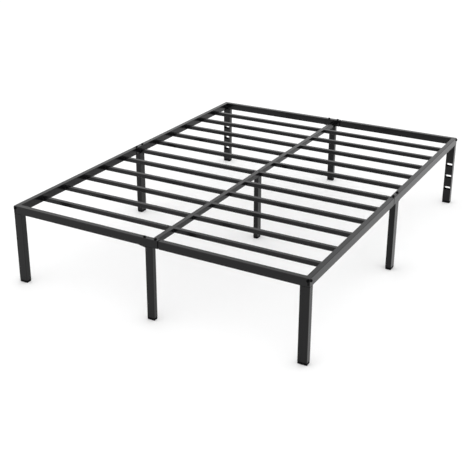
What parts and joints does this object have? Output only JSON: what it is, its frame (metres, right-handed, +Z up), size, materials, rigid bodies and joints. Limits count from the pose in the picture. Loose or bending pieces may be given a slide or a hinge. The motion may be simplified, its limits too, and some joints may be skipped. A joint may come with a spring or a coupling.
{
  "type": "metal platform bed frame",
  "caption": "Low rectangular steel bed frame: bolted outer rails on straight legs, a centre rail and cross slats that carry a mattress directly.",
  "frame": {"origin": "on the floor under the middle of the bed, at the centre of the outline of its feet and rails", "axes": "+Y runs along the bed to the head end, +X to the right seen from the foot end, +Z up"},
  "size_m": [1.5306, 2.0406, 0.4013],
  "materials": {
    "black_enamel": "smooth black powder coat with a soft gloss",
    "foot_plastic": "fine-textured black moulded plastic",
    "black_bolt": "black-oxide steel button-head bolts"
  },
  "bodies": {
    "root": {"centre_foot_cap": "foot_plastic", "centre_leg": "black_enamel", "centre_rail_foot_half": "black_enamel", "centre_rail_head_half": "black_enamel", "foot_centre_rail_bracket": "black_enamel", "foot_joint_bolts": "black_bolt", "foot_left_corner_bolts": "black_bolt", "foot_left_foot_cap": "foot_plastic", "foot_left_leg": "black_enamel", "foot_middle_foot_cap": "foot_plastic", "foot_middle_leg": "black_enamel", "foot_rail_left_half": "black_enamel", "foot_rail_right_half": "black_enamel", "foot_right_corner_bolts": "black_bolt", "foot_right_foot_cap": "foot_plastic", "foot_right_leg": "black_enamel", "head_centre_rail_bracket": "black_enamel", "head_joint_bolts": "black_bolt", "head_left_corner_bolts": "black_bolt", "head_left_foot_cap": "foot_plastic", "head_left_leg": "black_enamel", "head_middle_foot_cap": "foot_plastic", "head_middle_leg": "black_enamel", "head_rail_left_half": "black_enamel", "head_rail_right_half": "black_enamel", "head_right_corner_bolts": "black_bolt", "head_right_foot_cap": "foot_plastic", "head_right_leg": "black_enamel", "left_joint_bolts": "black_bolt", "left_middle_foot_cap": "foot_plastic", "left_middle_leg": "black_enamel", "left_side_rail_foot_half": "black_enamel", "left_side_rail_head_half": "black_enamel", "right_joint_bolts": "black_bolt", "right_middle_foot_cap": "foot_plastic", "right_middle_leg": "black_enamel", "right_side_rail_foot_half": "black_enamel", "right_side_rail_head_half": "black_enamel", "slat_left_01": "black_enamel", "slat_left_02": "black_enamel", "slat_left_03": "black_enamel", "slat_left_04": "black_enamel", "slat_left_05": "black_enamel", "slat_left_06": "black_enamel", "slat_left_07": "black_enamel", "slat_left_08": "black_enamel", "slat_left_09": "black_enamel", "slat_left_10": "black_enamel", "slat_left_11": "black_enamel", "slat_right_01": "black_enamel", "slat_right_02": "black_enamel", "slat_right_03": "black_enamel", "slat_right_04": "black_enamel", "slat_right_05": "black_enamel", "slat_right_06": "black_enamel", "slat_right_07": "black_enamel", "slat_right_08": "black_enamel", "slat_right_09": "black_enamel", "slat_right_10": "black_enamel", "slat_right_11": "black_enamel"}
  },
  "joints": []
}
